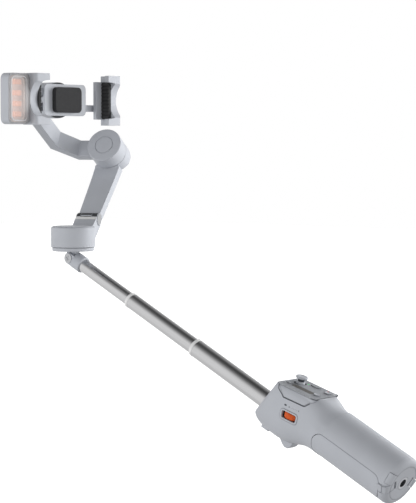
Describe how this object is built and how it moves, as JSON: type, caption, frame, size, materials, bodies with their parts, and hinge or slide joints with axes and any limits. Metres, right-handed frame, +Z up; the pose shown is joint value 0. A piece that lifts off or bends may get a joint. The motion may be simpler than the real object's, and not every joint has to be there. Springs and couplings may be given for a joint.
{
  "type": "phone gimbal",
  "caption": "Handheld phone gimbal on a telescopic rod: grip with fold-out tripod legs and a detachable remote, folding three-motor head, sliding phone clamp and clip-on light.",
  "frame": {"origin": "mouth of the tripod thread, on the axis of the grip, in the grip's end face", "axes": "+Z up in the pose the object is held in, rod drawn out; grip and rod lie in the XZ plane and rise towards -X; the jaws open along Y"},
  "size_m": [0.4078, 0.1679, 0.3159],
  "materials": {
    "grey_plastic": "fine satin moulded texture",
    "remote_grey": "satin",
    "chrome_tube": "polished",
    "white_plastic": "satin",
    "steel": "satin",
    "dark_plastic": "satin",
    "black_rubber": "matt",
    "orange_plastic": "gloss",
    "copper_winding": "lacquered wire",
    "battery_wrap": "shrink wrap",
    "circuit_board": "solder mask",
    "led_lens": "clear",
    "led_board": "satin",
    "clear_cover": "clear moulded plastic"
  },
  "bodies": {
    "handle": {"handle_housing": "grey_plastic", "leg_hinge_pins": "steel", "base_plate": "grey_plastic", "thread_insert": "steel", "nose_bush": "white_plastic", "battery_cell": "battery_wrap", "control_board": "circuit_board", "charge_socket": "steel", "wheel_axle": "steel", "wheel_frame": "grey_plastic", "trigger_pin": "steel"},
    "leg_left": {"tripod_leg_left": "grey_plastic"},
    "leg_right": {"tripod_leg_right": "grey_plastic"},
    "wheel": {"zoom_wheel": "orange_plastic"},
    "trigger": {"trigger": "grey_plastic"},
    "lock_button": {"rod_lock_button": "grey_plastic"},
    "remote": {"remote_shell": "grey_plastic", "remote_top": "remote_grey", "remote_board": "circuit_board", "remote_battery": "steel", "remote_leds": "led_lens"},
    "front_button": {"front_button": "remote_grey"},
    "rear_button": {"rear_button": "remote_grey"},
    "record_button": {"record_button": "remote_grey"},
    "rocker": {"zoom_rocker": "remote_grey"},
    "joystick_yoke": {"joystick_ring": "steel"},
    "joystick": {"joystick_cap": "remote_grey"},
    "rod_large": {"tube_large": "chrome_tube", "collar_large": "white_plastic"},
    "rod_mid": {"tube_mid": "chrome_tube", "collar_mid": "white_plastic", "slider_mid": "white_plastic"},
    "rod_small": {"tube_small": "chrome_tube", "slider_small": "white_plastic", "rod_fork": "grey_plastic", "rod_hinge_pin": "steel"},
    "pan_base": {"pan_base": "grey_plastic", "pan_shaft": "steel", "pan_stator": "copper_winding"},
    "pan_rotor": {"pan_housing": "grey_plastic", "pan_cap": "grey_plastic", "pan_bearing": "steel"},
    "upper_arm": {"upper_arm": "grey_plastic", "arm_hinge_pin": "steel", "tilt_stator": "copper_winding", "tilt_cover": "grey_plastic"},
    "link": {"tilt_rotor": "grey_plastic", "link_arm": "grey_plastic", "roll_stator": "copper_winding"},
    "clamp": {"roll_rotor": "dark_plastic", "clamp_frame": "grey_plastic", "clamp_pad": "black_rubber"},
    "pinion": {"jaw_pinion": "dark_plastic"},
    "left_jaw": {"left_jaw": "grey_plastic", "left_jaw_pad": "black_rubber"},
    "right_jaw": {"right_jaw": "grey_plastic", "right_jaw_pad": "black_rubber"},
    "light": {"light_casing": "grey_plastic", "light_cover": "clear_cover", "light_board": "led_board"}
  },
  "joints": [
    {"name": "leg_left_fold", "type": "hinge", "parent": "handle", "child": "leg_left", "pos_m": [-0.0061, -0.01393, -0.00461], "axis": [0.3893, -0.4384, 0.8101], "range_deg": [0, 110]},
    {"name": "leg_right_fold", "type": "hinge", "parent": "handle", "child": "leg_right", "pos_m": [-0.0061, 0.01393, -0.00461], "axis": [-0.3893, -0.4384, -0.8101], "range_deg": [0, 110]},
    {"name": "wheel_spin", "type": "hinge", "parent": "handle", "child": "wheel", "pos_m": [-0.09051, -0.0112, 0.04138], "axis": [0.2814, 0, 0.9596], "continuous": true},
    {"name": "trigger_pull", "type": "hinge", "parent": "handle", "child": "trigger", "pos_m": [-0.10804, 0, 0.02429], "axis": [0, 1, 0], "range_deg": [-14, 0], "stiffness_Nm_per_rad": 0.02, "springref_deg": 5.73},
    {"name": "lock_press", "type": "slide", "parent": "handle", "child": "lock_button", "axis": [0.4331, 0, 0.9013], "range_m": [0, 0.0015], "stiffness_N_per_m": 300, "springref_m": -0.0005},
    {"name": "remote_release", "type": "slide", "parent": "handle", "child": "remote", "axis": [0.2814, 0, 0.9596], "range_m": [0, 0.04]},
    {"name": "front_press", "type": "slide", "parent": "remote", "child": "front_button", "axis": [0.2814, 0, 0.9596], "range_m": [-0.0004, 0], "stiffness_N_per_m": 300, "springref_m": 0.0004},
    {"name": "rear_press", "type": "slide", "parent": "remote", "child": "rear_button", "axis": [0.2814, 0, 0.9596], "range_m": [-0.0004, 0], "stiffness_N_per_m": 300, "springref_m": 0.0004},
    {"name": "record_press", "type": "slide", "parent": "remote", "child": "record_button", "axis": [0.2814, 0, 0.9596], "range_m": [-0.0004, 0], "stiffness_N_per_m": 300, "springref_m": 0.0004},
    {"name": "rocker_rock", "type": "hinge", "parent": "remote", "child": "rocker", "pos_m": [-0.0874, 0.0106, 0.05839], "axis": [0, 1, 0], "range_deg": [-6, 6], "stiffness_Nm_per_rad": 0.004},
    {"name": "joystick_fore_aft", "type": "hinge", "parent": "remote", "child": "joystick_yoke", "pos_m": [-0.09734, 0.0044, 0.0611], "axis": [0, 1, 0], "range_deg": [-12, 12], "stiffness_Nm_per_rad": 0.006},
    {"name": "joystick_side", "type": "hinge", "parent": "joystick_yoke", "child": "joystick", "pos_m": [-0.09734, 0.0044, 0.0611], "axis": [0.9596, 0, -0.2814], "range_deg": [-12, 12], "stiffness_Nm_per_rad": 0.006},
    {"name": "rod_large_slide", "type": "slide", "parent": "handle", "child": "rod_large", "axis": [0.9013, 0, -0.4331], "range_m": [0, 0.072]},
    {"name": "rod_mid_slide", "type": "slide", "parent": "rod_large", "child": "rod_mid", "axis": [0.9013, 0, -0.4331], "range_m": [0, 0.073]},
    {"name": "rod_small_slide", "type": "slide", "parent": "rod_mid", "child": "rod_small", "axis": [0.9013, 0, -0.4331], "range_m": [0, 0.058]},
    {"name": "head_lean", "type": "hinge", "parent": "rod_small", "child": "pan_base", "pos_m": [-0.333, 0, 0.14859], "axis": [0, 1, 0], "range_deg": [-64.3, 4]},
    {"name": "pan", "type": "hinge", "parent": "pan_base", "child": "pan_rotor", "pos_m": [-0.333, 0, 0.14859], "axis": [0, 0, 1], "range_deg": [-165, 165]},
    {"name": "arm_fold", "type": "hinge", "parent": "pan_rotor", "child": "upper_arm", "pos_m": [-0.34612, 0.03191, 0.17949], "axis": [0.9248, 0.3804, 0], "range_deg": [0, 85]},
    {"name": "tilt", "type": "hinge", "parent": "upper_arm", "child": "link", "pos_m": [-0.35949, 0.0644, 0.24259], "axis": [0.3362, -0.8173, 0.4679], "range_deg": [-70, 40]},
    {"name": "roll", "type": "hinge", "parent": "link", "child": "clamp", "pos_m": [-0.3514, 0, 0.27946], "axis": [1, 0, 0], "range_deg": [-120, 120]},
    {"name": "left_jaw_slide", "type": "slide", "parent": "clamp", "child": "left_jaw", "axis": [0, -1, 0], "range_m": [-0.00911, 0.00911]},
    {"name": "right_jaw_slide", "type": "slide", "parent": "clamp", "child": "right_jaw", "axis": [0, 1, 0], "range_m": [-0.00911, 0.00911]},
    {"name": "pinion_turn", "type": "hinge", "parent": "clamp", "child": "pinion", "pos_m": [-0.345, 0, 0.27946], "axis": [1, 0, 0], "range_deg": [-181, 181]},
    {"name": "light_release", "type": "slide", "parent": "left_jaw", "child": "light", "axis": [0, -1, 0], "range_m": [0, 0.03]}
  ],
  "couplings": [
    {"joint": "right_jaw_slide", "follows": "left_jaw_slide", "ratio": 1},
    {"joint": "pinion_turn", "follows": "left_jaw_slide", "rad_per_m": 344.83}
  ]
}
